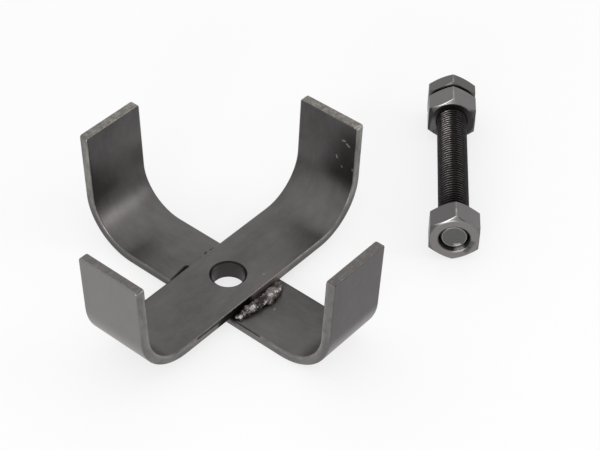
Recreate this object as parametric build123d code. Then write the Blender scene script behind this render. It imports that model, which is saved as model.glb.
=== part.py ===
# Clutch diaphragm compressor: a cross of two bent steel strips that stands on its base with four legs up,
# and beside it the loose draw stud with its drive nut, jam nut and coupling nut.
# Frame: origin on the axis of the centre hole, on the underside of the lower bar. The upper bar runs along X
# and the lower bar along Y. +Z is up, out of the open end between the legs. Millimetres.

from build123d import *
from math import radians, sqrt, tan
import os

# Both bars are cut from one strip and bent over one former. Heights and radii are of the strip's outer face.
STRIP_WIDTH = 25.4
STRIP_THICKNESS = 3.5
FLAT_HALF = 34.2
BEND_RADIUS = 20.35
LEG_SPLAY = 2.5
TIP_HEIGHT = 45.7
TIP_CORNER_RADIUS = 1.2
EDGE_CHAMFER = 0.35
HOLE_RADIUS = 5.75
HOLE_CHAMFER = 0.7

# Fillet welds, as stations: (place along the upper bar, height up its side, width out over the lower bar).
FRONT_BEAD = [(-12.6, 0.7, 1.0), (-10.2, 1.7, 2.9), (-6.0, 2.3, 3.9), (-1.5, 2.7, 4.6),
              (3.0, 2.9, 5.3), (7.4, 2.9, 4.9), (10.6, 2.3, 3.9), (12.3, 0.8, 1.3)]
REAR_BEAD = [(-3.6, 0.6, 0.9), (-2.0, 1.5, 1.9), (2.6, 2.1, 2.5),
             (7.6, 2.2, 2.6), (11.0, 1.7, 2.1), (12.2, 0.7, 0.9)]
BEAD_CROWN = 0.2

# 7/16-20 UNF stud and nuts. The thread isn't cut: the stud and the bores that it fills are drawn at its outer size.
STUD_RADIUS = 5.556
STUD_LENGTH = 82.55
STUD_CHAMFER = 1.2
THREAD_CLEARANCE = 0.05
NUT_FLATS = 17.46
NUT_THICKNESS = 9.53
JAM_NUT_THICKNESS = 6.35
NUT_FACE_RADIUS = 0.475 * NUT_FLATS
NUT_CHAMFER_ANGLE = 30
COUNTERSINK_RADIUS = 6.0
COUNTERSINK_HALF_ANGLE = 60

# The loose set lies beside the frame. Places along it count from the outer face of the coupling nut.
SET_X = 62.2
SET_Y = -49.5
SET_HEADING = 37.3
STUD_RECESS = 1.2
DRIVE_NUT_AT = 65.6
JAM_NUT_GAP = 1.1

NUT_CORNER_RADIUS = NUT_FLATS / sqrt(3)
ENGAGED_RADIUS = STUD_RADIUS + THREAD_CLEARANCE
JAM_NUT_AT = DRIVE_NUT_AT + NUT_THICKNESS + JAM_NUT_GAP


def strip_side(lift):
    """Side view of the strip's outer face (lift 0) or inner face, from the middle of the flat up a leg and past
    its tip."""
    flat = Line((0, lift), (FLAT_HALF, lift))
    bend = CenterArc((FLAT_HALF, BEND_RADIUS), BEND_RADIUS - lift, 270, 90 - LEG_SPLAY)
    leg = PolarLine(bend @ 1, TIP_HEIGHT, 90 - LEG_SPLAY)
    return [flat, bend, leg]


def bent_bar(tip_height):
    """A strip along X with both ends bent up and trimmed level, tip_height above its own underside. The tips'
    corners are rounded over, and the long edges eased as shearing leaves them."""
    outer = strip_side(0)
    inner = strip_side(STRIP_THICKNESS)
    ends = [Line(outer[0] @ 0, inner[0] @ 0), Line(outer[-1] @ 1, inner[-1] @ 1)]
    half = extrude(Plane.XZ * make_face(outer + inner + ends), STRIP_WIDTH / 2, both=True)
    bar = split(half + mirror(half, Plane.YZ), Plane.XY.offset(tip_height), keep=Keep.BOTTOM)

    tip_edges = bar.edges().group_by(Axis.Z)[-1]
    bar = fillet(tip_edges.filter_by(Axis.X), TIP_CORNER_RADIUS)
    side_edges = bar.faces().filter_by(Axis.Y).edges()
    return chamfer(side_edges, EDGE_CHAMFER)


def centre_hole():
    return Cylinder(HOLE_RADIUS, 4 * STRIP_THICKNESS)


def hole_rim():
    """The chamfer round the hole on the top face of the upper bar."""
    chamfer_at = Plane.XY.offset(2 * STRIP_THICKNESS - HOLE_CHAMFER / 2)
    return chamfer_at * Cone(HOLE_RADIUS, HOLE_RADIUS + HOLE_CHAMFER, HOLE_CHAMFER)


def upper_bar():
    bar = Pos(0, 0, STRIP_THICKNESS) * bent_bar(TIP_HEIGHT - STRIP_THICKNESS)
    return bar - centre_hole() - hole_rim()


def lower_bar():
    return Rot(0, 0, 90) * bent_bar(TIP_HEIGHT) - centre_hole()


def bead_section(place, height, width):
    """Cross section of a fillet weld: two legs at right angles and a crowned face, in a plane across the bead."""
    root, up, out = (0, 0), (0, height), (width, 0)
    crown = (width / 2 + BEAD_CROWN * width, height / 2 + BEAD_CROWN * height)
    face = ThreePointArc(out, crown, up)
    outline = [Line(root, out), face, Line(up, root)]
    across = Plane(origin=(place, 0, 0), x_dir=(0, -1, 0), z_dir=(-1, 0, 0))
    return across * make_face(outline)


def weld_bead(stations):
    """A bead along X in the corner between a wall at Y = 0 and a floor at Z = 0, on the -Y side."""
    return loft([bead_section(*station) for station in stations], ruled=True)


def front_weld():
    return Pos(0, -STRIP_WIDTH / 2, STRIP_THICKNESS) * weld_bead(FRONT_BEAD)


def rear_weld():
    return Pos(0, STRIP_WIDTH / 2, STRIP_THICKNESS) * mirror(weld_bead(REAR_BEAD), Plane.XZ)


def turned(*outline):
    """A turned body about Z, from its outline as (radius, height) points."""
    return revolve(Plane.XZ * make_face(Polyline(*outline, close=True)), Axis.Z)


def hex_blank(thickness):
    """A hexagon prism with a corner towards +Y, its corners chamfered on both faces."""
    rise = (NUT_CORNER_RADIUS - NUT_FACE_RADIUS) * tan(radians(NUT_CHAMFER_ANGLE))
    prism = extrude(RegularPolygon(NUT_FLATS / 2, 6, major_radius=False, rotation=30), thickness)
    return prism & turned((0, 0), (NUT_FACE_RADIUS, 0), (NUT_CORNER_RADIUS, rise),
                          (NUT_CORNER_RADIUS, thickness - rise), (NUT_FACE_RADIUS, thickness), (0, thickness))


def hex_nut(thickness):
    """A nut that the stud goes through, countersunk on both faces."""
    depth = (COUNTERSINK_RADIUS - ENGAGED_RADIUS) / tan(radians(COUNTERSINK_HALF_ANGLE))
    bore = turned((0, 0), (COUNTERSINK_RADIUS, 0), (ENGAGED_RADIUS, depth), (ENGAGED_RADIUS, thickness - depth),
                  (COUNTERSINK_RADIUS, thickness), (0, thickness))
    return hex_blank(thickness) - bore


def stud():
    """The threaded rod, chamfered at both ends."""
    end_radius = STUD_RADIUS - STUD_CHAMFER
    return turned((0, 0), (end_radius, 0), (STUD_RADIUS, STUD_CHAMFER), (STUD_RADIUS, STUD_LENGTH - STUD_CHAMFER),
                  (end_radius, STUD_LENGTH), (0, STUD_LENGTH))


def on_set_axis(piece, place):
    """Lays a piece built along Z on the loose set's axis, level on its nuts' lower corners."""
    lying = Plane.YZ.offset(place) * piece
    return Location((SET_X, SET_Y, NUT_CORNER_RADIUS), (0, 0, SET_HEADING)) * lying


parts = {
    "upper_bar": upper_bar(),
    "lower_bar": lower_bar(),
    "front_weld": front_weld(),
    "rear_weld": rear_weld(),
    "stud": on_set_axis(stud(), STUD_RECESS),
    "drive_nut": on_set_axis(hex_nut(NUT_THICKNESS), DRIVE_NUT_AT),
    "jam_nut": on_set_axis(hex_nut(JAM_NUT_THICKNESS), JAM_NUT_AT),
    "coupling_nut": on_set_axis(hex_nut(NUT_THICKNESS), 0),
}

os.makedirs("parts", exist_ok=True)
for name, piece in parts.items():
    export_step(piece, f"parts/{name}.step")
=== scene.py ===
from functools import reduce
from math import ceil, cos, pi, radians, sin, sqrt, tan

import bmesh
import bpy
from mathutils import Matrix, Vector


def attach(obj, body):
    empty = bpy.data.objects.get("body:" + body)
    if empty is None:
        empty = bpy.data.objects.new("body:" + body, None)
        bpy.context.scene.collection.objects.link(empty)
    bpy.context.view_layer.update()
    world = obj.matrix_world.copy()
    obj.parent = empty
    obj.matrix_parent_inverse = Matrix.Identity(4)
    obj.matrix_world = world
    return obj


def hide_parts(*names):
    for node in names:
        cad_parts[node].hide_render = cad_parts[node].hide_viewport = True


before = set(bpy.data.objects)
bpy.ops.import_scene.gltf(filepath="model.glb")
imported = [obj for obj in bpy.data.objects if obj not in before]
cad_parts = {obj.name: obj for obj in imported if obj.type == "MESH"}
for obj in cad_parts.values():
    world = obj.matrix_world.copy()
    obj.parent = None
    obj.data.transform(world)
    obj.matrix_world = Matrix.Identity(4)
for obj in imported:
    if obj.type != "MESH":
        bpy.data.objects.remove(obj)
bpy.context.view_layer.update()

# The camera stands where the photograph was taken from: over the front, some 600 mm away, on a long lens
# and rolled by a degree. It is placed by the pixel at which the axis of the frame's hole meets the bench.
PHOTO_WIDTH, PHOTO_HEIGHT = 600, 450
FOCAL_PIXELS = 1767.2
VIEW_AZIMUTH = radians(-50.8)
VIEW_ELEVATION = radians(41.99)
VIEW_ROLL = radians(1.451)
VIEW_DISTANCE = 0.6073
ORIGIN_PIXEL = (228.44, 288.66)

look = Vector((-sin(VIEW_AZIMUTH) * cos(VIEW_ELEVATION), cos(VIEW_AZIMUTH) * cos(VIEW_ELEVATION),
               -sin(VIEW_ELEVATION)))
level = Vector((cos(VIEW_AZIMUTH), sin(VIEW_AZIMUTH), 0))
right = cos(VIEW_ROLL) * level + sin(VIEW_ROLL) * level.cross(look)
up = right.cross(look)
aside = (ORIGIN_PIXEL[0] - PHOTO_WIDTH / 2) / FOCAL_PIXELS * VIEW_DISTANCE
above = (PHOTO_HEIGHT / 2 - ORIGIN_PIXEL[1]) / FOCAL_PIXELS * VIEW_DISTANCE

camera = bpy.data.objects.new("camera", bpy.data.cameras.new("camera"))
camera.data.sensor_width = 36
camera.data.lens = FOCAL_PIXELS * camera.data.sensor_width / PHOTO_WIDTH
camera.data.clip_start = 0.01
camera.matrix_world = Matrix((right, up, -look)).transposed().to_4x4()
camera.matrix_world.translation = -look * VIEW_DISTANCE - right * aside - up * above
bpy.context.scene.collection.objects.link(camera)
bpy.context.scene.camera = camera
bpy.context.scene.view_settings.view_transform = "Standard"


# The bench and the light: a sheet of white board in a white room. A wide soft lamp low on the camera's right
# lays the pale bands on the bends, and one behind the camera on the left lights the nuts' turned chamfers.
ROOM_FILL = 0.86
BOARD_COLOUR = (0.94, 0.94, 0.94, 1)
BOARD_GLOW = 0.72
BOARD_HALF = 4
LAMPS = {
    "right_lamp": {"toward": (0.576, -0.740, 0.36), "distance": 1.0, "size": 0.34, "watts": 1.45},
    "left_lamp": {"toward": (-0.93, -0.40, 0.28), "distance": 0.9, "size": 0.34, "watts": 3.4},
}


class Signal:
    """A node's output that takes part in Python arithmetic. Each operator adds one Math node."""

    def __init__(self, socket):
        self.socket = socket

    def math(self, operation, *others):
        values = dict(enumerate((self, *others)))
        return add(self.socket.id_data, "ShaderNodeMath", {"operation": operation}, values)

    def __add__(self, other):
        return self.math("ADD", other)

    def __radd__(self, other):
        return self.math("ADD", other)

    def __sub__(self, other):
        return self.math("SUBTRACT", other)

    def __rsub__(self, other):
        return (self * -1) + other

    def __mul__(self, other):
        return self.math("MULTIPLY", other)

    def __rmul__(self, other):
        return self.math("MULTIPLY", other)

    def __truediv__(self, other):
        return self.math("DIVIDE", other)

    def __pow__(self, other):
        return self.math("POWER", other)

    def smallest(self, other):
        return self.math("MINIMUM", other)

    def largest(self, other):
        return self.math("MAXIMUM", other)

    def rising(self, start, end):
        """0 below start, 1 above end and a smooth step between. With start the larger, the step falls."""
        return add(self.socket.id_data, "ShaderNodeMapRange", {"interpolation_type": "SMOOTHSTEP"},
                   {"Value": self, "From Min": start, "From Max": end})

    def output(self, name):
        """Another output of the same node."""
        return Signal(self.socket.node.outputs[name])


def add(tree, kind, settings, values, output=0):
    """Adds a node: its settings first, then the value or link of each socket. Gives one output."""
    node = tree.nodes.new(kind)
    for name, setting in settings.items():
        setattr(node, name, setting)
    for name, value in values.items():
        if isinstance(value, Signal):
            tree.links.new(value.socket, node.inputs[name])
        else:
            node.inputs[name].default_value = value
    return Signal(node.outputs[output]) if len(node.outputs) else None


def new_material(name):
    """An empty material, with its tree."""
    material = bpy.data.materials.new(name)
    material.use_nodes = True
    material.node_tree.nodes.clear()
    return material, material.node_tree


def finish_material(tree, values):
    """Ends a material's tree with the surface shader."""
    surface = add(tree, "ShaderNodeBsdfPrincipled", {}, values)
    add(tree, "ShaderNodeOutputMaterial", {}, {"Surface": surface})


def seen_rays(tree):
    """1 for rays that show the white surroundings, in the picture and in metal, and 0 for the rest."""
    ray = add(tree, "ShaderNodeLightPath", {}, {}, "Is Camera Ray")
    return ray.largest(ray.output("Is Glossy Ray")).largest(ray.output("Is Transmission Ray"))


world = bpy.data.worlds.new("white_room")
bpy.context.scene.world = world
world.use_nodes = True
tree = world.node_tree
tree.nodes.clear()
seen = seen_rays(tree)
room = add(tree, "ShaderNodeBackground", {}, {
    "Color": (1, 1, 1, 1), "Strength": seen + (1 - seen) * ROOM_FILL})
add(tree, "ShaderNodeOutputWorld", {}, {"Surface": room})

for name, setting in LAMPS.items():
    lamp = bpy.data.lights.new(name, "AREA")
    lamp.shape = "SQUARE"
    lamp.size = setting["size"]
    lamp.energy = setting["watts"]
    toward = Vector(setting["toward"]).normalized()
    holder = bpy.data.objects.new(name, lamp)
    holder.matrix_world = toward.to_track_quat("Z", "Y").to_matrix().to_4x4()
    holder.matrix_world.translation = toward * setting["distance"]
    bpy.context.scene.collection.objects.link(holder)

floor_mesh = bpy.data.meshes.new("floor")
floor_mesh.from_pydata([(-BOARD_HALF, -BOARD_HALF, 0), (BOARD_HALF, -BOARD_HALF, 0),
                        (BOARD_HALF, BOARD_HALF, 0), (-BOARD_HALF, BOARD_HALF, 0)], [], [(0, 1, 2, 3)])
floor = bpy.data.objects.new("floor", floor_mesh)
bpy.context.scene.collection.objects.link(floor)
white_board, tree = new_material("white_board")
board = add(tree, "ShaderNodeBsdfDiffuse", {}, {"Color": BOARD_COLOUR})
glow = add(tree, "ShaderNodeEmission", {}, {"Color": (1, 1, 1, 1), "Strength": 1.0})
paper = add(tree, "ShaderNodeMixShader", {}, {0: seen_rays(tree) * BOARD_GLOW, 1: board, 2: glow})
add(tree, "ShaderNodeOutputMaterial", {}, {"Surface": paper})
floor_mesh.materials.append(white_board)


# The two bars of the frame: lengths of hot-rolled mild steel strip, 25.4 by 3.5 mm, sheared to length and
# bored. Each is bent up cold at both ends over one former, then they are crossed over a pin and welded.
MM = 0.001
STRIP_WIDTH = 25.4
STRIP_THICKNESS = 3.5
FLAT_HALF = 34.2
BEND_RADIUS = 20.35
BEND_ANGLE = radians(87.5)
TIP_HEIGHT = 45.7
TIP_CORNER_RADIUS = 1.2
TIP_EDGE_RADIUS = 0.55
SIDE_EDGE_RADIUS = 0.5
HOLE_RADIUS = 5.75
HOLE_RIM = 0.7
DRILL_FOOT, DRILL_HEAD = -2, STRIP_THICKNESS + 2
ROW_SPACING = 1.2
BEND_END = FLAT_HALF + BEND_RADIUS * BEND_ANGLE


def new_piece(name, points, faces):
    """An object from points in millimetres."""
    mesh = bpy.data.meshes.new(name)
    mesh.from_pydata([Vector(p) * MM for p in points], [], faces)
    piece = bpy.data.objects.new(name, mesh)
    bpy.context.scene.collection.objects.link(piece)
    return piece


def ring_faces(count, size, first=0, closed=False):
    """Faces between rings of points, one after another. Closed joins the last ring to the first too."""
    return [(first + i * size + j, first + i * size + (j + 1) % size,
             first + (i + 1) % count * size + (j + 1) % size, first + (i + 1) % count * size + j)
            for i in range(count if closed else count - 1) for j in range(size)]


def settle(piece):
    """Turns a piece with its modifiers into the plain mesh that they make."""
    made = bpy.data.meshes.new_from_object(piece.evaluated_get(bpy.context.evaluated_depsgraph_get()))
    piece.modifiers.clear()
    if piece.type == "MESH":
        piece.data = made
        return piece
    plain = bpy.data.objects.new(piece.name, made)
    bpy.data.objects.remove(piece)
    plain.name = made.name
    bpy.context.scene.collection.objects.link(plain)
    return plain


def spread(start, end, count, margin):
    """Places from start to end. One close to each end keeps the flat between them flat in its shading."""
    near, far = start + margin, end - margin
    return [start, *(near + (far - near) * n / count for n in range(count + 1)), end]


def strip_section(half_width, inset, radius):
    """Points (across, depth) round the strip's section, with its four long edges rounded."""
    half, low, high = half_width - inset, inset, STRIP_THICKNESS - inset
    corners = [(half - radius, low + radius, -90), (half - radius, high - radius, 0),
               (radius - half, high - radius, 90), (radius - half, low + radius, 180)]
    points = []
    for (across, depth, start), (next_across, next_depth, _) in zip(corners, corners[1:] + corners[:1]):
        for step in range(5):
            angle = radians(start + 22.5 * step)
            points.append((across + radius * cos(angle), depth + radius * sin(angle)))
        # A narrow side has one span between its margins, and a wide face has six.
        count, margin = (1, 0.35) if abs(depth - next_depth) > abs(across - next_across) else (6, 0.6)
        turn = radians(start + 90)
        first = Vector(points[-1])
        last = Vector((next_across + radius * cos(turn), next_depth + radius * sin(turn)))
        length = (last - first).length
        points += [tuple(first.lerp(last, place / length))
                   for place in spread(0, length, count, margin)[1:-1]]
    return points


def strip_blank(name, half_length):
    """The flat blank along X, as a closed mesh, with its corners and edges rounded."""
    from_tip = [0, 0.05, 0.15, 0.32, 0.55, 0.75, 1.0, 1.2, 1.6]
    middle = half_length - from_tip[-1]
    steps = ceil(middle / ROW_SPACING)
    places = [half_length - d for d in from_tip]
    places += [middle - middle * n / steps for n in range(1, steps + 1)]
    places += [-place for place in reversed(places[:-1])]
    points = []
    for place in places:
        depth_in = half_length - abs(place)
        corner = max(TIP_CORNER_RADIUS - depth_in, 0)
        edge = max(TIP_EDGE_RADIUS - depth_in, 0)
        half_width = STRIP_WIDTH / 2 - TIP_CORNER_RADIUS + sqrt(TIP_CORNER_RADIUS ** 2 - corner ** 2)
        inset = TIP_EDGE_RADIUS - sqrt(TIP_EDGE_RADIUS ** 2 - edge ** 2)
        section = strip_section(half_width, inset, max(SIDE_EDGE_RADIUS - inset, 0.05))
        points += [(place, across, depth) for across, depth in section]
    size = len(points) // len(places)
    faces = ring_faces(len(places), size)
    faces.append(tuple(reversed(range(size))))
    faces.append(tuple(range(len(points) - size, len(points))))
    return new_piece(name, points, faces)


def turned_cutter(name, outline, steps=96):
    """A closed turned tool about Z, from (radius, height) points that start and end on the axis."""
    rings = outline[1:-1]
    points = [(0, 0, outline[0][1]), (0, 0, outline[-1][1])]
    turns = [2 * pi * (n + 0.5) / steps for n in range(steps)]
    points += [(r * cos(turn), r * sin(turn), z) for r, z in rings for turn in turns]
    faces = ring_faces(len(rings), steps, first=2)
    faces += [(0, 2 + (n + 1) % steps, 2 + n) for n in range(steps)]
    last = 2 + (len(rings) - 1) * steps
    faces += [(1, last + n, last + (n + 1) % steps) for n in range(steps)]
    return new_piece(name, points, faces)


def bent(along, across, depth, tip_height):
    """Where a point of the flat blank lies on the bar bent along X. The tips are trimmed level."""
    side, run = (1, along) if along > 0 else (-1, -along)
    if run <= FLAT_HALF:
        return Vector((along, across, depth))
    angle = min((run - FLAT_HALF) / BEND_RADIUS, BEND_ANGLE)
    x = FLAT_HALF + (BEND_RADIUS - depth) * sin(angle)
    z = BEND_RADIUS - (BEND_RADIUS - depth) * cos(angle)
    if run > BEND_END:
        share = (run - BEND_END) / leg_length(tip_height)
        climb = run - BEND_END - share * depth / tan(BEND_ANGLE)
        x += climb * cos(BEND_ANGLE)
        z += climb * sin(BEND_ANGLE)
    return Vector((side * x, across, z))


def leg_length(tip_height):
    """Straight length of a leg's outer face above its bend."""
    return (tip_height - BEND_RADIUS * (1 - cos(BEND_ANGLE))) / sin(BEND_ANGLE)


def bent_bar(name, tip_height, lift, turn, rims):
    """A bored and bent bar. Its points keep their places on the flat blank for the finish to follow."""
    bar = strip_blank(name, BEND_END + leg_length(tip_height))
    drill = turned_cutter("drill", [(0, DRILL_FOOT), *rims, (0, DRILL_HEAD)])
    bore = bar.modifiers.new("bore", "BOOLEAN")
    bore.object = drill
    bore.operation = "DIFFERENCE"
    bore.solver = "EXACT"
    settle(bar)
    bpy.data.objects.remove(drill)
    mesh = bar.data
    blank = mesh.attributes.new("blank", "FLOAT_VECTOR", "POINT")
    for n, vertex in enumerate(mesh.vertices):
        blank.data[n].vector = vertex.co
        vertex.co = bent(*(vertex.co / MM), tip_height) * MM
    mesh.transform(Matrix.Translation((0, 0, lift * MM)) @ Matrix.Rotation(turn, 4, "Z"))
    mesh.shade_smooth()
    mesh.set_sharp_from_angle(angle=radians(32))
    return bar


upper_bar = bent_bar("bar_upper", TIP_HEIGHT - STRIP_THICKNESS, STRIP_THICKNESS, 0, [
    (HOLE_RADIUS, DRILL_FOOT), (HOLE_RADIUS, STRIP_THICKNESS - HOLE_RIM),
    (HOLE_RADIUS + 0.8 * HOLE_RIM, STRIP_THICKNESS - 0.12), (HOLE_RADIUS + HOLE_RIM + 0.1, STRIP_THICKNESS),
    (HOLE_RADIUS + HOLE_RIM + 0.1, DRILL_HEAD)])
lower_bar = bent_bar("bar_lower", TIP_HEIGHT, 0, pi / 2, [
    (HOLE_RADIUS + 0.15, DRILL_FOOT), (HOLE_RADIUS + 0.15, 0), (HOLE_RADIUS, 0.15),
    (HOLE_RADIUS, STRIP_THICKNESS - 0.1), (HOLE_RADIUS + 0.1, STRIP_THICKNESS),
    (HOLE_RADIUS + 0.1, DRILL_HEAD)])


def noise(tree, place, scale, detail=2.0, roughness=0.5, stretch=(1, 1, 1), shift=(0, 0, 0)):
    """Soft noise from 0 to 1. Scale is in features a metre, and stretch lengthens them along an axis."""
    mapped = add(tree, "ShaderNodeMapping", {}, {
        "Vector": place, "Location": shift, "Scale": tuple(scale / s for s in stretch)})
    return add(tree, "ShaderNodeTexNoise", {}, {
        "Vector": mapped, "Scale": 1.0, "Detail": detail, "Roughness": roughness})


def blended(tree, share, first, second):
    """A colour between two, by a share from 0 to 1."""
    return add(tree, "ShaderNodeMix", {"data_type": "RGBA"}, {0: share, 6: first, 7: second}, 2)


def bumped(tree, height, distance):
    """A normal from a height signal. Distance is the real relief in metres."""
    return add(tree, "ShaderNodeBump", {}, {"Height": height, "Distance": distance, "Strength": 1.0})


def axes(tree, place):
    """The three coordinates of a place."""
    x = add(tree, "ShaderNodeSeparateXYZ", {}, {"Vector": place}, "X")
    return x, x.output("Y"), x.output("Z")


def between(tree, place, start, end):
    """Distance of a place from the line between two points, in metres."""
    start, end = Vector(start), Vector(end)
    along = end - start
    offset = add(tree, "ShaderNodeVectorMath", {"operation": "SUBTRACT"}, {0: place, 1: start})
    run = add(tree, "ShaderNodeVectorMath", {"operation": "DOT_PRODUCT"}, {
        0: offset, 1: along / along.length_squared}, "Value")
    nearest = add(tree, "ShaderNodeVectorMath", {"operation": "SCALE"}, {
        0: along, "Scale": run.largest(0.0).smallest(1.0)})
    return add(tree, "ShaderNodeVectorMath", {"operation": "DISTANCE"}, {0: offset, 1: nearest}, "Value")


def patches(tree, place, runs):
    """Soft patches, each round a line: (start, end, full within, gone beyond), in metres."""
    return reduce(Signal.largest, [between(tree, place, start, end).rising(gone, full)
                                   for start, end, full, gone in runs])


# Marks on the bars: soot mixed with painted shadow and heat tint beside the welds, painted dark reflections
# and nicks on the insides of the rear legs, and a painted glint on the rear right tip.
SOOT_AND_SHADOW_LINES = [((-0.0165, -0.0130, 0.0046), (-0.0050, -0.0130, 0.0050), 0.0016, 0.0038),
        ((-0.0150, 0.0136, 0.0035), (-0.0046, 0.0150, 0.0035), 0.0010, 0.0019),
        ((-0.0290, -0.0129, 0.0064), (-0.0160, -0.0129, 0.0062), 0.0001, 0.0008),
        ((-0.0129, -0.0145, 0.0032), (-0.0129, -0.0250, 0.0032), 0.0001, 0.0008),
        ((-0.0129, -0.0250, 0.0032), (-0.0129, -0.0310, 0.0032), 0.0, 0.0004)]
HEAT_TINT = [((-0.002, -0.0127, 0.0055), (0.0135, -0.0127, 0.0055), 0.0012, 0.0042)]
# Painted dark reflections on the rear legs' inner faces.
DARK_REFLECTIONS = [((0.0514, -0.0125, 0.0235), (0.0514, -0.0125, 0.0285), 0.0005, 0.0105),
          ((0.0522, -0.0105, 0.0375), (0.0514, -0.0060, 0.0250), 0.0002, 0.0100),
          ((0.0125, 0.0514, 0.0235), (-0.0125, 0.0514, 0.0240), 0.0006, 0.0118),
          ((-0.0125, 0.0514, 0.0265), (-0.0060, 0.0514, 0.0260), 0.0006, 0.0115)]
# Light nicks on the rear right leg; the last entry is a painted glint on the corner of its tip.
NICKS_AND_TIP_GLINT = [((0.0515, -0.0069, 0.0379), (0.0515, -0.0078, 0.0380)),
         ((0.0515, -0.0088, 0.0372), (0.0515, -0.0099, 0.0366)),
         ((0.0515, -0.0047, 0.0302), (0.0515, -0.0050, 0.0295)),
         ((0.0515, -0.0072, 0.0268), (0.0515, -0.0074, 0.0264)),
         ((0.0515, -0.0119, 0.0277), (0.0515, -0.0120, 0.0274)),
         ((0.0500, 0.0106, 0.0149), (0.0500, 0.0102, 0.0137)),
         ((0.0522, -0.0116, 0.0456), (0.0545, -0.0121, 0.0456))]

SCALE_DARK, SCALE_LIGHT = (0.088, 0.081, 0.082, 1), (0.150, 0.141, 0.141, 1)
SPECK_STEEL = (0.20, 0.195, 0.185, 1)
TORN_STEEL = (0.085, 0.078, 0.074, 1)
BURNISHED_STEEL = (0.25, 0.24, 0.23, 1)
REAR_SIDE_STEEL = (0.31, 0.30, 0.285, 1)
FRONT_SIDE_STEEL = (0.31, 0.297, 0.292, 1)
PAINTED_LIGHT_STEEL = (0.275, 0.266, 0.258, 1)
FRONT_RIGHT_SHADE_STEEL = (0.056, 0.053, 0.053, 1)
TIP_STEEL = (0.26, 0.245, 0.22, 1)
BORE_SHADE_STEEL = (0.045, 0.04, 0.041, 1)
RIM_SHADOW_STEEL = (0.012, 0.011, 0.012, 1)
DARK_REFLECTION_STEEL = (0.030, 0.026, 0.024, 1)
NICK_AND_GLINT_STEEL = (0.40, 0.385, 0.35, 1)
TINTED_STEEL = (0.140, 0.118, 0.110, 1)
SOOT_AND_SHADOW_BLACK = (0.004, 0.0035, 0.0035, 1)

bar_steel, tree = new_material("bar_steel")
blank = add(tree, "ShaderNodeAttribute", {"attribute_name": "blank"}, {}, "Vector")
place = add(tree, "ShaderNodeTexCoord", {}, {}, "Object")
_, across, depth = axes(tree, blank)
x, y, height = axes(tree, place)
from_bore = (x ** 2 + y ** 2) ** 0.5
rearward = x + y

# The rolled faces, with mill scale drawn out along the strip.
clouds = noise(tree, blank, 55, 3, 0.6, (1.6, 1, 1))
mottle = noise(tree, blank, 420, 3, 0.65, (2.2, 1, 1))
rolled = noise(tree, blank, 1500, 2, 0.5, (14, 1, 1))
speckle = noise(tree, blank, 2600, 3, 0.6)
scale_skin = (clouds - 0.5) * 1.5 + (mottle - 0.5) * 0.8 + 0.5
shade = blended(tree, scale_skin, SCALE_DARK, SCALE_LIGHT)
shade = blended(tree, speckle.rising(0.60, 0.75) * 0.3, shade, SPECK_STEEL)

# The sheared sides, torn towards the outer face and burnished towards the inner one, and lighter on the rear
# legs' upper parts and along the front.
sheared = across.math("ABSOLUTE").rising((STRIP_WIDTH / 2 - 0.45) * MM, (STRIP_WIDTH / 2 - 0.2) * MM)
torn = sheared * depth.rising(0.0024, 0.0019)
burnished = sheared * depth.rising(0.0024, 0.0029) * (0.3 + 0.7 * mottle.rising(0.40, 0.62))
shade = blended(tree, torn * (0.2 + speckle * 0.5), shade, TORN_STEEL)
shade = blended(tree, burnished * 0.55, shade, BURNISHED_STEEL)
worn = mottle.rising(0.35, 0.6)
rear_side = sheared * height.rising(0.010, 0.024) * rearward.rising(-0.02, 0.02)
front_side = sheared * rearward.rising(-0.005, -0.030)
shade = blended(tree, rear_side * (0.30 + 0.35 * worn + 0.32 * x.rising(0.03, 0.05)), shade, REAR_SIDE_STEEL)
shade = blended(tree, front_side * (0.22 + 0.20 * worn), shade, FRONT_SIDE_STEEL)

# The outsides of the front legs carry painted light: the left one all over, and the right one only round its
# bend, with painted shade on the right one above it.
outside = depth.rising(0.0009, 0.0002) * (1 - sheared)
painted_light = x.rising(-0.034, -0.046) * (0.54 + 0.24 * height.rising(0.024, 0.014))
painted_light = painted_light + y.rising(-0.040, -0.048) * height.rising(0.0195, 0.0140) * 0.42
front_right_shade = outside * y.rising(-0.040, -0.050) * height.rising(0.0165, 0.0205)
# Painted light on the front legs' outsides, and painted shade on the right one's upper part.
shade = blended(tree, outside * painted_light, shade, PAINTED_LIGHT_STEEL)
shade = blended(tree, front_right_shade * 0.45, shade, FRONT_RIGHT_SHADE_STEEL)

# The tips, chewed by the shear, and painted shade in the bore, with a darker painted shadow at its rim.
tip = height.rising((TIP_HEIGHT - 0.4) * MM, (TIP_HEIGHT - 0.12) * MM)
chewed = noise(tree, place, 800, 4, 0.8)
fresh = 0.35 + 0.65 * rearward.rising(-0.02, 0.02)
shade = blended(tree, tip * fresh * (0.25 + 0.75 * chewed.rising(0.44, 0.58)), shade, TIP_STEEL)
# Painted shade in the bore, and a darker painted shadow round its rim.
bore_shade = from_bore.rising((HOLE_RADIUS + HOLE_RIM + 0.2) * MM, (HOLE_RADIUS + HOLE_RIM) * MM)
rim_shadow = bore_shade * from_bore.rising((HOLE_RADIUS + 0.05) * MM, (HOLE_RADIUS + 0.2) * MM)
shade = blended(tree, bore_shade * 0.85, shade, BORE_SHADE_STEEL)
shade = blended(tree, rim_shadow * 0.8, shade, RIM_SHADOW_STEEL)

# The painted dark reflections lie on the inner faces only, and the welding's marks stop at the upper bar's
# top face.
dark_reflected = patches(tree, place, DARK_REFLECTIONS) * depth.rising(0.0030, 0.0034)
shade = blended(tree, dark_reflected * (0.55 + 0.45 * clouds.rising(0.35, 0.60)) * 0.68, shade, DARK_REFLECTION_STEEL)
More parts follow.
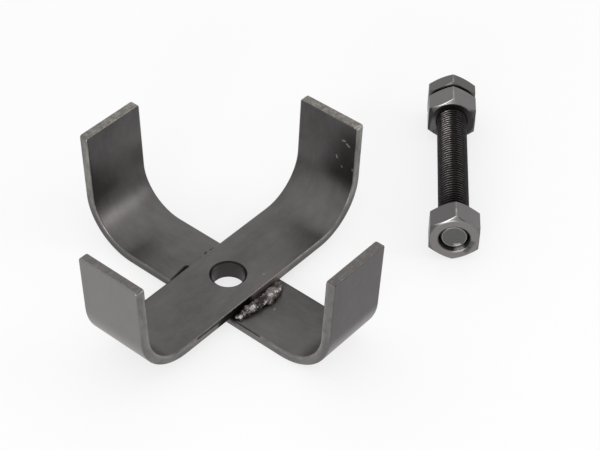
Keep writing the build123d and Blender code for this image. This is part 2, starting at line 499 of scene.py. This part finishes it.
# Light nicks, and a painted glint on the rear right tip.
nick_and_glint = reduce(Signal.smallest, [between(tree, place, start, end) for start, end in NICKS_AND_TIP_GLINT])
nick_and_glint = nick_and_glint.rising(0.00056, 0.00026) * speckle.rising(0.30, 0.50)
shade = blended(tree, nick_and_glint * 0.8, shade, NICK_AND_GLINT_STEEL)
heated = patches(tree, place, HEAT_TINT) * height.rising(0.00705, 0.0069)
shade = blended(tree, heated * 0.75, shade, TINTED_STEEL)
# Soot by the welds, mixed with painted shadow in the crevices beside the beads and as thin lines along
# edges.
soot_and_shadow = patches(tree, place, SOOT_AND_SHADOW_LINES) * height.rising(0.0070, 0.0066)
shade = blended(tree, soot_and_shadow * 0.93, shade, SOOT_AND_SHADOW_BLACK)

relief = speckle * 0.5 + rolled * 0.5 + clouds * 1.5 + tip * chewed * 3 + torn * speckle * 2 - nick_and_glint * 2
finish_material(tree, {
    "Base Color": shade,
    "Metallic": 1 - heated * (1 - soot_and_shadow) * 0.6,
    "Roughness": 0.33 + clouds * 0.08 + speckle * 0.05 + soot_and_shadow * 0.2 + torn * 0.08,
    "Normal": bumped(tree, relief, 0.00003),
})

for bar, node in ((upper_bar, "upper_bar"), (lower_bar, "lower_bar")):
    bar.data.materials.append(bar_steel)
    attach(bar, "frame")
    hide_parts(node)


# The welds: two short hand-laid arc beads in the corners between the upper bar's sides and the lower bar,
# front and back. The metal froze in lumps and is left as it was laid, and the front one threw a drop of
# spatter onto each bar. Stations, drops and glints are (x, y, z, radius or reach) in millimetres.
FRONT_BEAD = [(-11.4, -14.3, 4.0, 1.1), (-9.6, -15.0, 4.2, 1.6), (-7.2, -15.4, 4.4, 2.1),
              (-4.8, -15.5, 4.5, 2.2), (-2.2, -15.7, 4.5, 2.4), (0.8, -16.0, 4.5, 2.6),
              (3.6, -16.1, 4.5, 2.6), (6.2, -16.0, 4.5, 2.4), (8.4, -15.6, 4.5, 2.1), (9.9, -15.2, 4.5, 1.6)]
REAR_BEAD = [(-2.6, 13.1, 4.1, 0.8), (-0.8, 13.2, 4.2, 1.1), (1.8, 13.35, 4.3, 1.25),
             (4.8, 13.4, 4.3, 1.3), (7.6, 13.35, 4.3, 1.25), (9.8, 13.2, 4.2, 1.2), (11.2, 13.05, 4.1, 1.1)]
SPATTER = [(7.8, -9.2, 7.0, 0.56), (0.2, -20.6, 3.5, 0.50)]
SPATTER_FORM = (1.15, 0.9, 0.26, 1)
SPATTER_LIFT = 0.02
GLINTS = [(-11.5, -15.4, 4.8, 1.2), (-6.1, -16.5, 5.9, 2.2), (-1.2, -17.2, 5.2, 1.0),
          (2.4, -16.5, 6.1, 1.0), (5.0, -16.8, 5.7, 1.0), (7.4, -17.1, 5.4, 1.4)]
GLINT_RUN = Vector((0.8, -0.4, 0))
FRONT_RIPPLE, REAR_RIPPLE = 1.2, 0.75
VOXEL = 0.12
LUMPS = 0.45
SWELL_MIDDLE, SWELL_REACH = 0.47, 3.2


def set_inputs(piece, tree, values):
    """Puts a Geometry Nodes tree on a piece, with its named inputs set."""
    modifier = piece.modifiers.new(tree.name, "NODES")
    modifier.node_group = tree
    for socket in tree.interface.items_tree:
        if socket.name in values:
            modifier[socket.identifier] = values[socket.name]


def dress(piece, material):
    """Leaves a settled piece with one slot, which holds the material itself."""
    piece.data.materials.clear()
    piece.data.materials.append(material)
    piece.data.polygons.foreach_set("material_index", [0] * len(piece.data.polygons))


def new_tree(name, inputs):
    """A Geometry Nodes tree with a geometry input, named inputs and a geometry output."""
    tree = bpy.data.node_groups.new(name, "GeometryNodeTree")
    tree.interface.new_socket("Geometry", in_out="INPUT", socket_type="NodeSocketGeometry")
    for label, kind in inputs.items():
        tree.interface.new_socket(label, in_out="INPUT", socket_type=kind)
    tree.interface.new_socket("Geometry", in_out="OUTPUT", socket_type="NodeSocketGeometry")
    return tree, add(tree, "NodeGroupInput", {}, {})


def new_line(name, stations):
    """A curve through points in millimetres, each with its own radius."""
    curve = bpy.data.curves.new(name, "CURVE")
    curve.dimensions = "3D"
    line = curve.splines.new("POLY")
    line.points.add(len(stations) - 1)
    for point, (x, y, z, radius) in zip(line.points, stations):
        point.co = (x * MM, y * MM, z * MM, 1)
        point.radius = radius * MM
    piece = bpy.data.objects.new(name, curve)
    bpy.context.scene.collection.objects.link(piece)
    return piece


CRUST_DARK, CRUST_LIGHT = (0.046, 0.039, 0.037, 1), (0.195, 0.172, 0.168, 1)
SPATTER_STEEL = (0.20, 0.19, 0.185, 1)
GLINT_STEEL = (0.47, 0.455, 0.455, 1)

weld_metal, tree = new_material("weld_metal")
place = add(tree, "ShaderNodeTexCoord", {}, {}, "Object")
crust = noise(tree, place, 330, 2, 0.5)
grit = noise(tree, place, 2600, 2, 0.6)
fleck = noise(tree, place, 950, 2, 0.6, (1, 1, 2), (0.3, 0, 0))
# Painted glints on the front bead at the listed places, broken up by flecks.
weld_glint = patches(tree, place, [
    (Vector(spot) * MM, (Vector(spot) + GLINT_RUN) * MM, 0.2 * reach * MM, reach * MM)
    for *spot, reach in GLINTS])
weld_glint = (weld_glint + (fleck - 0.5) * 2.6).rising(0.50, 0.95) * weld_glint.rising(0.0, 0.25)
laid = patches(tree, place, [
    (Vector(bead[1][:3]) * MM, Vector(bead[-1][:3]) * MM, 0.0040, 0.0048)
    for bead in (FRONT_BEAD, REAR_BEAD)])
shade = blended(tree, crust.rising(0.34, 0.60), CRUST_DARK, CRUST_LIGHT)
shade = blended(tree, 1 - laid, shade, SPATTER_STEEL)
finish_material(tree, {
    "Base Color": blended(tree, weld_glint * 0.85, shade, GLINT_STEEL),
    "Metallic": 1.0,
    "Roughness": 0.44 + grit * 0.10,
    "Normal": bumped(tree, grit, 0.00002),
})

# The bead's tree sets leaning drops along a curve, melts them into one skin, and swells that into ripples.
ripples, bead_in = new_tree("weld_ripples", {
    "Pitch": "NodeSocketFloat", "Voxel": "NodeSocketFloat", "Lumps": "NodeSocketFloat",
    "Seed": "NodeSocketInt", "Metal": "NodeSocketMaterial"})
lumps, seed, voxel = bead_in.output("Lumps"), bead_in.output("Seed"), bead_in.output("Voxel")
steps = add(ripples, "GeometryNodeResampleCurve", {"mode": "LENGTH"},
            {"Curve": bead_in, "Length": bead_in.output("Pitch")})
wander = add(ripples, "FunctionNodeRandomValue", {"data_type": "FLOAT_VECTOR"},
             {0: (-1.0, -1.0, -0.5), 1: (1.0, 1.0, 0.7), "Seed": seed + 1})
wander = add(ripples, "ShaderNodeVectorMath", {"operation": "SCALE"}, {0: wander, "Scale": lumps})
steps = add(ripples, "GeometryNodeSetPosition", {}, {"Geometry": steps, "Offset": wander})
lean = add(ripples, "FunctionNodeRandomValue", {"data_type": "FLOAT_VECTOR"},
           {0: (-0.2, -0.3, -0.9), 1: (0.2, 0.3, 0.1), "Seed": seed + 2})
jitter = add(ripples, "FunctionNodeRandomValue", {"data_type": "FLOAT_VECTOR"},
             {0: (0.55, 0.62, 0.55), 1: (0.85, 1.05, 0.95), "Seed": seed})
size = add(ripples, "ShaderNodeVectorMath", {"operation": "SCALE"},
           {0: jitter, "Scale": add(ripples, "GeometryNodeInputRadius", {}, {})})
drop = add(ripples, "GeometryNodeMeshIcoSphere", {}, {"Radius": 1.0, "Subdivisions": 4})
drops = add(ripples, "GeometryNodeInstanceOnPoints", {},
            {"Points": steps, "Instance": drop, "Rotation": lean, "Scale": size})
solid = add(ripples, "GeometryNodeRealizeInstances", {}, {"Geometry": drops})
fog = add(ripples, "GeometryNodeMeshToVolume", {"resolution_mode": "VOXEL_SIZE"},
          {"Mesh": solid, "Density": 1.0, "Voxel Size": voxel, "Interior Band Width": 0.0004})
skin = add(ripples, "GeometryNodeVolumeToMesh", {"resolution_mode": "VOXEL_SIZE"},
           {"Volume": fog, "Voxel Size": voxel, "Threshold": 0.1})
melted = add(ripples, "GeometryNodeBlurAttribute", {"data_type": "FLOAT_VECTOR"},
             {"Value": add(ripples, "GeometryNodeInputPosition", {}, {}), "Iterations": 5})
skin = add(ripples, "GeometryNodeSetPosition", {}, {"Geometry": skin, "Position": melted})
swell = add(ripples, "ShaderNodeTexNoise", {}, {"Scale": 620.0, "Detail": 2.0, "Distortion": 1.0})
swell = (swell - SWELL_MIDDLE) * lumps * SWELL_REACH
push = add(ripples, "ShaderNodeVectorMath", {"operation": "SCALE"},
           {0: add(ripples, "GeometryNodeInputNormal", {}, {}), "Scale": swell})
skin = add(ripples, "GeometryNodeSetPosition", {}, {"Geometry": skin, "Offset": push})
skin = add(ripples, "GeometryNodeSetShadeSmooth", {}, {"Geometry": skin})
dressed = add(ripples, "GeometryNodeSetMaterial", {},
              {"Geometry": skin, "Material": bead_in.output("Metal")})
add(ripples, "NodeGroupOutput", {}, {"Geometry": dressed})

for name, node, stations, pitch, seed in (("bead_front", "front_weld", FRONT_BEAD, FRONT_RIPPLE, 3),
                                          ("bead_rear", "rear_weld", REAR_BEAD, REAR_RIPPLE, 8)):
    bead = new_line(name, stations)
    set_inputs(bead, ripples, {
        "Pitch": pitch * MM, "Voxel": VOXEL * MM, "Lumps": LUMPS * MM, "Seed": seed, "Metal": weld_metal})
    bead = settle(bead)
    shape = bmesh.new()
    shape.from_mesh(bead.data)
    for x, y, z, radius in SPATTER:
        if y * stations[0][1] > 0:
            at = Matrix.Translation(Vector((x, y, z + SPATTER_LIFT * radius)) * MM)
            bmesh.ops.create_icosphere(
                shape, subdivisions=3, radius=radius * MM, matrix=at @ Matrix.Diagonal(SPATTER_FORM))
    shape.to_mesh(bead.data)
    shape.free()
    dress(bead, weld_metal)
    bead.data.shade_smooth()
    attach(bead, "frame")
    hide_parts(node)


# The draw stud: 7/16-20 UNF threaded rod, 82.55 mm long, sawn and chamfered at both ends. It is black from
# its oxide and oil, and its crests carry a painted highlight broken by wear. Its nuts stand on the bench by
# their corners and hold it level.
SET_X, SET_Y, SET_HEADING = 62.2, -49.5, radians(37.3)
NUT_FLATS = 17.46
NUT_CORNER_RADIUS = NUT_FLATS / sqrt(3)
PITCH = 1.27
STUD_RADIUS = 5.53
STUD_ROOT_RADIUS = 4.78
STUD_LENGTH = 82.55
STUD_CHAMFER = 1.2
STUD_RECESS = 1.2
THREAD_SEGMENTS = 48


def thread_tree():
    """Geometry Nodes for a threaded rod about Z: a grid whose rows follow the helix and whose columns go
    over one pitch of the 60 degree form, cut off by a cone at both ends. The crest takes an eighth of the
    pitch, each flank five sixteenths and the root a quarter."""
    tree, given = new_tree("unified_thread", {
        "Crest Radius": "NodeSocketFloat", "Root Radius": "NodeSocketFloat",
        "End Radius": "NodeSocketFloat", "Pitch": "NodeSocketFloat", "Length": "NodeSocketFloat",
        "Segments": "NodeSocketFloat", "Metal": "NodeSocketMaterial"})
    crest, root = given.output("Crest Radius"), given.output("Root Radius")
    pitch, length = given.output("Pitch"), given.output("Length")
    turns = (length / pitch + 2).math("CEIL")
    grid = add(tree, "GeometryNodeMeshGrid", {}, {
        "Size X": turns, "Size Y": 5.0, "Vertices X": turns * given.output("Segments") + 1,
        "Vertices Y": 6})
    row, column, _ = axes(tree, add(tree, "GeometryNodeInputPosition", {}, {}))
    off = column.math("ABSOLUTE")
    rise = column.math("SIGN") * (off * 0.3125 - 0.09375).smallest(off * 0.125 + 0.1875)
    z = ((row + rise) * pitch + length * 0.5).largest(0.0).smallest(length)
    thread = crest - (crest - root) * (off - 0.5).smallest(1.0)
    radius = thread.smallest(given.output("End Radius") + z.smallest(length - z))
    angle = row * (2 * pi)
    helix = add(tree, "ShaderNodeCombineXYZ", {}, {
        "X": radius * angle.math("COSINE"), "Y": radius * angle.math("SINE"), "Z": z})
    wound = add(tree, "GeometryNodeSetPosition", {}, {"Geometry": grid, "Position": helix})
    joined = add(tree, "GeometryNodeMergeByDistance", {}, {"Geometry": wound, "Distance": 0.000002})
    solid = add(tree, "GeometryNodeRealizeInstances", {}, {"Geometry": joined})
    dressed = add(tree, "GeometryNodeSetMaterial", {},
                  {"Geometry": solid, "Material": given.output("Metal")})
    add(tree, "NodeGroupOutput", {}, {"Geometry": dressed})
    return tree


def on_set_axis(place):
    """The matrix that lays a piece built along Z on the loose set's axis."""
    lying = Matrix(((0, 0, 1, place * MM), (1, 0, 0, 0), (0, 1, 0, 0), (0, 0, 0, 1)))
    at = Matrix.Translation(Vector((SET_X, SET_Y, NUT_CORNER_RADIUS)) * MM)
    return at @ Matrix.Rotation(SET_HEADING, 4, "Z") @ lying


def close_ends(piece):
    """Closes a threaded rod with flat ends."""
    shape = bmesh.new()
    shape.from_mesh(piece.data)
    bmesh.ops.holes_fill(shape, edges=[edge for edge in shape.edges if edge.is_boundary], sides=0)
    bmesh.ops.remove_doubles(shape, verts=shape.verts, dist=1e-6)
    bmesh.ops.recalc_face_normals(shape, faces=shape.faces)
    shape.to_mesh(piece.data)
    shape.free()


def set_axis_place(tree):
    """Object coordinates turned to the loose set: X along its axis, Z up, in metres."""
    return add(tree, "ShaderNodeMapping", {"vector_type": "TEXTURE"}, {
        "Vector": add(tree, "ShaderNodeTexCoord", {}, {}, "Object"),
        "Location": Vector((SET_X, SET_Y, NUT_CORNER_RADIUS)) * MM, "Rotation": (0, 0, SET_HEADING)})


OXIDE_DARK, OXIDE_LIGHT = (0.010, 0.0085, 0.0095, 1), (0.024, 0.021, 0.022, 1)
CREST_WEAR_AND_SHEEN_STEEL = (0.205, 0.192, 0.178, 1)
SAWN_STEEL = (0.135, 0.132, 0.13, 1)
CHAMFER_STEEL = (0.24, 0.22, 0.20, 1)
EDGE_HIGHLIGHT_STEEL = (0.46, 0.45, 0.44, 1)

stud_steel, tree = new_material("stud_steel")
place = set_axis_place(tree)
along, crosswise, upright = axes(tree, place)
radius = (crosswise ** 2 + upright ** 2) ** 0.5
side, top = crosswise / radius, upright / radius
grime = noise(tree, place, 240, 3, 0.6)
wear = noise(tree, place, 900, 2, 0.6)

# The crests carry a painted highlight, broken by wear, in a line left of the top, most at the far end, and
# faintly in one right of it.
painted_light = (side * 0.50 + top * 0.866).rising(0.90, 0.99) * (0.22 + 0.78 * along.rising(0.024, 0.060))
painted_light = painted_light + 0.25 * (side * -0.42 + top * 0.908).rising(0.97, 0.995)
crest = radius.rising(0.00530, 0.00548) * (0.3 + 0.7 * wear.rising(0.36, 0.58)) * (0.10 + 0.90 * painted_light)
shade = blended(tree, grime, OXIDE_DARK, OXIDE_LIGHT)
shade = blended(tree, crest, shade, CREST_WEAR_AND_SHEEN_STEEL)

# The sawn ends with their chamfers, a painted highlight on the edge between them, and a painted glint low on
# the right.
half = STUD_LENGTH / 2
from_middle = (along - (STUD_RECESS + half) * MM).math("ABSOLUTE")
end_face = from_middle.rising((half - 0.06) * MM, (half - 0.02) * MM)
at_end = from_middle.rising((half - 0.9) * MM, (half - 0.7) * MM)
edge_highlight = at_end * radius.rising(0.00475, 0.00455) * radius.rising(0.00410, 0.00425)
painted_glint = at_end * (side * -0.34 - top * 0.94).rising(0.90, 0.97) * radius.rising(0.0027, 0.0036)
painted_glint = painted_glint * wear.rising(0.34, 0.52)
shade = blended(tree, end_face * (0.7 + 0.3 * wear), shade, SAWN_STEEL)
shade = blended(tree, at_end * (1 - end_face) * wear.rising(0.30, 0.60) * 0.9, shade, CHAMFER_STEEL)
shade = blended(tree, (edge_highlight * (0.35 + 0.6 * wear)).largest(painted_glint * 0.8), shade, EDGE_HIGHLIGHT_STEEL)
finish_material(tree, {
    "Base Color": shade,
    "Metallic": 1 - painted_glint * 0.9,
    "Roughness": 0.28 + grime * 0.16,
    "Normal": bumped(tree, wear, 0.00002),
})

unified_thread = thread_tree()
stud = new_piece("draw_stud", [], [])
set_inputs(stud, unified_thread, {
    "Crest Radius": STUD_RADIUS * MM, "Root Radius": STUD_ROOT_RADIUS * MM,
    "End Radius": (STUD_RADIUS - STUD_CHAMFER) * MM, "Pitch": PITCH * MM, "Length": STUD_LENGTH * MM,
    "Segments": float(THREAD_SEGMENTS), "Metal": stud_steel})
settle(stud)
close_ends(stud)
dress(stud, stud_steel)
stud.data.transform(on_set_axis(STUD_RECESS))
stud.data.shade_smooth()
stud.data.set_sharp_from_angle(angle=radians(35))
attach(stud, "stud")
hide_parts("stud")


# The three nuts: 11/16 inch hexagons of phosphated steel, turned to a 30 degree chamfer on both faces and
# tapped 7/16-20. The drive nut and the thin jam nut are run on at the far end, and the coupling nut at the
# near end, until the stud is 1.2 mm short of its face.
NUT_CHAMFER = radians(30)
NUT_FACE_RADIUS = 0.475 * NUT_FLATS
NUT_CORNER_EASE = 0.4
BORE_RADIUS = 5.606
COUNTERSINK_RADIUS = 6.0
COUNTERSINK_SLOPE = tan(radians(60))
BORE_EASE, FACE_EASE = 0.08, 0.12
DRIVE_AT, JAM_AT, COUPLING_AT = 65.6, 76.23, 0.0
NUT_THICKNESS, JAM_THICKNESS = 9.53, 6.35
NUTS = {
    "nut_drive": {"node": "drive_nut", "body": "drive_nut", "at": DRIVE_AT, "thickness": NUT_THICKNESS},
    "nut_jam": {"node": "jam_nut", "body": "jam_nut", "at": JAM_AT, "thickness": JAM_THICKNESS},
    "nut_coupling": {
        "node": "coupling_nut", "body": "coupling_nut", "at": COUPLING_AT, "thickness": NUT_THICKNESS},
}


def hexagon_outline():
    """Points round a hexagon with eased corners, one corner towards +Y."""
    centre = (NUT_FLATS / 2 - NUT_CORNER_EASE) / cos(radians(30))
    points = []
    for corner in range(6):
        heading, ahead = radians(90 + 60 * corner), radians(150 + 60 * corner)
        arc = [heading + radians(15 * step) for step in range(-2, 3)]
        points += [Vector((centre * cos(heading) + NUT_CORNER_EASE * cos(a),
                           centre * sin(heading) + NUT_CORNER_EASE * sin(a))) for a in arc]
        following = Vector((centre * cos(ahead) + NUT_CORNER_EASE * cos(arc[-1]),
                            centre * sin(ahead) + NUT_CORNER_EASE * sin(arc[-1])))
        length = (following - points[-1]).length
        points += [points[-1].lerp(following, place / length) for place in spread(0, length, 6, 0.3)[1:-1]]
    return points


def eased(outline, radii):
    """A closed outline with its corners rounded. A point a little beyond each arc is for its shading."""
    points = []
    for n, (corner, radius) in enumerate(zip(outline, radii)):
        if not radius:
            points.append(corner)
            continue
        back = (outline[n - 1] - corner).normalized()
        ahead = (outline[(n + 1) % len(outline)] - corner).normalized()
        half = back.angle(ahead) / 2
        reach = radius / tan(half)
        centre = corner + (back + ahead).normalized() * radius / sin(half)
        start, end = corner + back * reach - centre, corner + ahead * reach - centre
        points.append(centre + start + back * 0.1)
        points += [centre + start.slerp(end, step / 3) * radius for step in range(4)]
        points.append(centre + end + ahead * 0.1)
    return points


def nut_section(reach, thickness, depth):
    """Closed outline (radius, height) of the nut's wall, where its hexagon is at reach from the axis."""
    fall = (reach - NUT_FACE_RADIUS) * tan(NUT_CHAMFER)
    lower = [(BORE_RADIUS, depth, 0), (COUNTERSINK_RADIUS, 0, BORE_EASE),
             (NUT_FACE_RADIUS, 0, FACE_EASE), (reach, fall, FACE_EASE)]
    upper = [(r, thickness - z, ease) for r, z, ease in reversed(lower)]
    return eased([Vector((r, z)) for r, z, _ in lower + upper], [ease for _, _, ease in lower + upper])


def hexagon_nut(name, thickness):
    """A chamfered hexagon nut about Z, with its outer face at height 0."""
    depth = (COUNTERSINK_RADIUS - BORE_RADIUS) / COUNTERSINK_SLOPE
    columns = [[(spot.normalized() * section.x).to_3d() + Vector((0, 0, section.y))
                for section in nut_section(spot.length, thickness, depth)] for spot in hexagon_outline()]
    faces = ring_faces(len(columns), len(columns[0]), closed=True)
    nut = new_piece(name, [point for column in columns for point in column], faces)
    shape = bmesh.new()
    shape.from_mesh(nut.data)
    bmesh.ops.recalc_face_normals(shape, faces=shape.faces)
    shape.to_mesh(nut.data)
    shape.free()
    return nut


PHOSPHATE_DARK, PHOSPHATE_LIGHT = (0.130, 0.122, 0.124, 1), (0.185, 0.176, 0.176, 1)
GRAIN_STEEL = (0.26, 0.25, 0.245, 1)
JAM_STEEL = (0.098, 0.093, 0.090, 1)
NEAR_LEFT_SHADE_STEEL = (0.100, 0.094, 0.098, 1)
NEAR_FACE_STEEL = (0.205, 0.195, 0.192, 1)
CROWN_HIGHLIGHT_STEEL = (0.46, 0.445, 0.44, 1)
ARRIS_HIGHLIGHT_STEEL = (0.66, 0.65, 0.64, 1)
ARRIS_SHADOW_DARK = (0.035, 0.030, 0.030, 1)
SHADOW_DARK = (0.030, 0.027, 0.027, 1)
BORE_SHADE_DARK = (0.050, 0.042, 0.038, 1)
LOW_RIM_HIGHLIGHT_STEEL = (0.24, 0.235, 0.22, 1)
BORE_GLINT_STEEL = (0.55, 0.53, 0.51, 1)
OILY_DARK = (0.036, 0.033, 0.033, 1)
GAP_SHADE_BLACK = (0.004, 0.0035, 0.004, 1)

nut_steel, tree = new_material("nut_steel")
place = set_axis_place(tree)
along, crosswise, upright = axes(tree, place)
radius = (crosswise ** 2 + upright ** 2) ** 0.5
side, top = crosswise / radius, upright / radius
clouds = noise(tree, place, 160, 3, 0.6)
grain = noise(tree, place, 2400, 3, 0.6)
drawn = noise(tree, place, 2600, 2, 0.5, (18, 1, 1))
smear = noise(tree, place, 420, 2, 0.5, (1, 1, 4))
lathe = add(tree, "ShaderNodeTexNoise", {"noise_dimensions": "1D"}, {
    "W": radius, "Scale": 5200.0, "Detail": 2.0})

# The edge where a chamfer meets the flats, on top of the nuts: a painted highlight on the left, and a
# painted shadow on the right of the coupling nut. The top corners carry a painted highlight too.
out = reduce(Signal.largest, [
    (crosswise * cos(radians(turn)) + upright * sin(radians(turn))).math("ABSOLUTE")
    for turn in (0, 60, 120)])
inset = reduce(Signal.smallest, [(along - size["at"] * MM).math("ABSOLUTE") for size in NUTS.values()])
turned = (inset - (radius - NUT_FACE_RADIUS * MM) * tan(NUT_CHAMFER)).math("ABSOLUTE")
edge = out.rising((NUT_FLATS / 2 - 0.22) * MM, (NUT_FLATS / 2 - 0.08) * MM)
edge = edge * turned.rising(0.00034, 0.00010) * top.rising(0.55, 0.85)
arris_highlight = edge * side.rising(-0.08, 0.10) * (1 - along.rising(0.070, 0.072) * 0.8)
arris_shadow = edge * side.rising(-0.05, -0.10) * side.rising(-0.42, -0.28) * along.rising(0.0150, 0.0100)
crown_highlight = upright.rising(0.00986, 0.00998) * clouds.rising(0.30, 0.55)
crown_highlight = crown_highlight * (1 - 0.5 * along.rising(0.060, 0.065))

# The drive nut's near face carries painted shade round the stud, and the gap between the two far nuts is
# painted black as shade.
beside = upright.rising(0.0062, 0.0046) * upright.rising(-0.0085, -0.0050)
beside = beside * (0.35 + 0.65 * smear.rising(0.42, 0.56))
shadowed = (radius.rising(0.0083, 0.0077) * upright.rising(-0.002, 0.003)).largest(beside)
shadowed = shadowed * along.rising(0.0669, 0.0665) * along.rising(0.0640, 0.0650)
jam = along.rising(0.0759, 0.0761)
gap_shade = along.rising(0.0746, 0.0750) * along.rising(0.0768, 0.0764)

# The coupling nut: painted shade in its bore, a painted highlight on the low rim and a painted glint there,
# an oily smudge beside the bore, and painted shade on its left flats.
bore = radius.rising(0.0061, 0.0058)
near_left_shade = along.rising(0.011, 0.010) * side.rising(-0.1, 0.1)
low_rim_highlight = radius.rising(0.0059, 0.0061) * radius.rising(0.0065, 0.0063) * upright.rising(-0.0040, -0.0052)
low_rim_highlight = low_rim_highlight * along.rising(0.0012, 0.0009)
painted_glint = (crosswise * -0.40 - upright * 0.917).rising(0.0051, 0.0056) * bore * along.rising(0.0030, 0.0020)
oily = between(tree, place, (0, -0.0063, -0.0014), (0, -0.0044, -0.0050)).rising(0.0015, 0.0004)
oily = oily * (0.55 + 0.45 * clouds.rising(0.35, 0.6)) * along.rising(0.0004, 0.0002)

shade = blended(tree, clouds, PHOSPHATE_DARK, PHOSPHATE_LIGHT)
shade = blended(tree, grain.rising(0.55, 0.7) * 0.25, shade, GRAIN_STEEL)
# The jam nut is darker, and on its right side darker still as painted shade.
shade = blended(tree, jam * (0.55 + 0.40 * side.rising(0.2, -0.2)), shade, JAM_STEEL)
shade = blended(tree, near_left_shade * 0.5, shade, NEAR_LEFT_SHADE_STEEL)
shade = blended(tree, along.rising(0.0003, 0.0001), shade, NEAR_FACE_STEEL)
shade = blended(tree, crown_highlight * 0.8, shade, CROWN_HIGHLIGHT_STEEL)
shade = blended(tree, arris_highlight * 0.9, shade, ARRIS_HIGHLIGHT_STEEL)
shade = blended(tree, arris_shadow * 0.8, shade, ARRIS_SHADOW_DARK)
shade = blended(tree, shadowed * 0.9, shade, SHADOW_DARK)
# Painted shade in every nut's bore.
shade = blended(tree, bore * 0.4, shade, BORE_SHADE_DARK)
shade = blended(tree, low_rim_highlight * 0.7, shade, LOW_RIM_HIGHLIGHT_STEEL)
shade = blended(tree, painted_glint * 0.9 * grain.rising(0.3, 0.6), shade, BORE_GLINT_STEEL)
shade = blended(tree, oily * 0.9, shade, OILY_DARK)
shade = blended(tree, gap_shade * 0.96, shade, GAP_SHADE_BLACK)
finish_material(tree, {
    "Base Color": shade,
    "Metallic": 1 - painted_glint * 0.9,
    "Roughness": 0.30 + clouds * 0.08 + grain * 0.06 + bore * 0.22,
    "Normal": bumped(tree, grain * 0.5 + drawn * 0.4 + lathe * 0.4, 0.000012),
})

for name, size in NUTS.items():
    nut = hexagon_nut(name, size["thickness"])
    nut.data.transform(on_set_axis(size["at"]))
    nut.data.materials.append(nut_steel)
    nut.data.shade_smooth()
    nut.data.set_sharp_from_angle(angle=radians(35))
    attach(nut, size["body"])
    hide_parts(size["node"])
